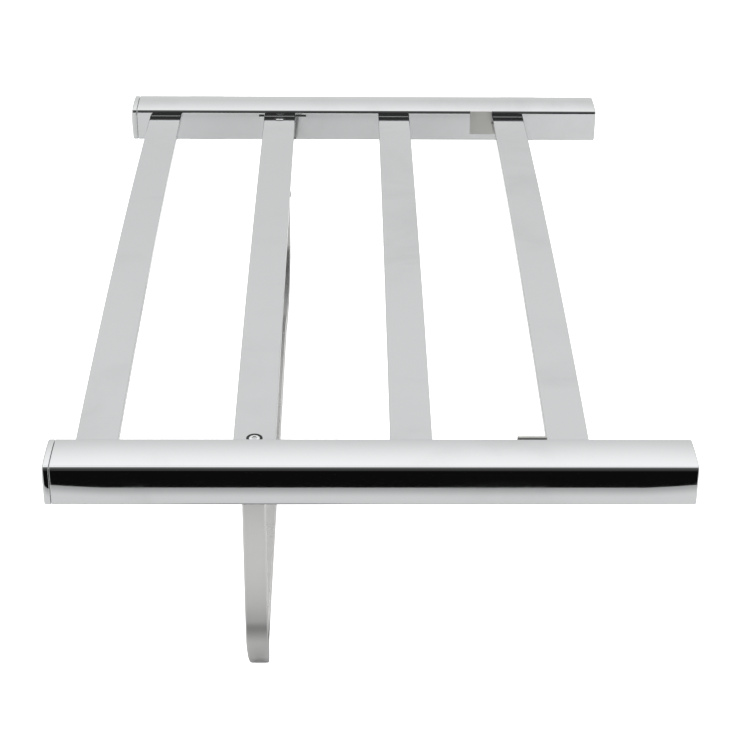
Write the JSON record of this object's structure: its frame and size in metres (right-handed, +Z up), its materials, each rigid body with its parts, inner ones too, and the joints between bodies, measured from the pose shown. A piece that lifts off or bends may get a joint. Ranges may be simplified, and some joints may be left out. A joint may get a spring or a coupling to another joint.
{
  "type": "folding luggage rack",
  "caption": "Wall-hinged luggage rack: crowned flat slats between two tubular rails, with a flat-bar support bow that folds away beneath.",
  "frame": {"origin": "centre of the wall bolt pattern, on the wall plane, level with the middle of the rails", "axes": "+Z up, +Y into the wall, so the rack's front faces -Y; +X to the right as seen from the room"},
  "size_m": [0.303, 0.495, 0.146],
  "materials": {
    "chrome": "polished",
    "chrome_slat": "polished, finely brushed along the bar",
    "steel_dark": "satin",
    "nylon": "matte",
    "rubber": "matte"
  },
  "bodies": {
    "wall": {"wall_bracket_left": "chrome", "wall_bracket_right": "chrome", "hinge_pin_left": "steel_dark", "hinge_pin_right": "steel_dark", "hinge_circlips": "steel_dark"},
    "rack": {"rail_lug_left": "chrome", "rail_lug_right": "chrome", "front_rail": "chrome", "rear_rail": "chrome", "cap_front_left": "chrome", "cap_rear_left": "chrome", "plug_front_right": "chrome", "plug_rear_right": "chrome", "slat_1": "chrome_slat", "slat_2": "chrome_slat", "slat_3": "chrome_slat", "slat_4": "chrome_slat", "slat_screws": "steel_dark", "angle_plate_front": "chrome", "angle_plate_rear": "chrome", "bow_bracket_front": "chrome", "bow_bracket_rear": "chrome", "bow_pin_front": "steel_dark", "bow_pin_rear": "steel_dark", "bow_washers": "nylon"},
    "bow": {"support_bow": "chrome", "buffer_stem": "chrome", "buffer_nut": "chrome", "buffer_pad": "rubber"}
  },
  "joints": [
    {"name": "rack_hinge", "type": "hinge", "parent": "wall", "child": "rack", "pos_m": [0, -0.02, 0.016], "axis": [-1, 0, 0], "range_deg": [0, 91]},
    {"name": "bow_hinge", "type": "hinge", "parent": "rack", "child": "bow", "pos_m": [-0.054, -0.2615, -0.002], "axis": [0, -1, 0], "range_deg": [0, 90]}
  ]
}
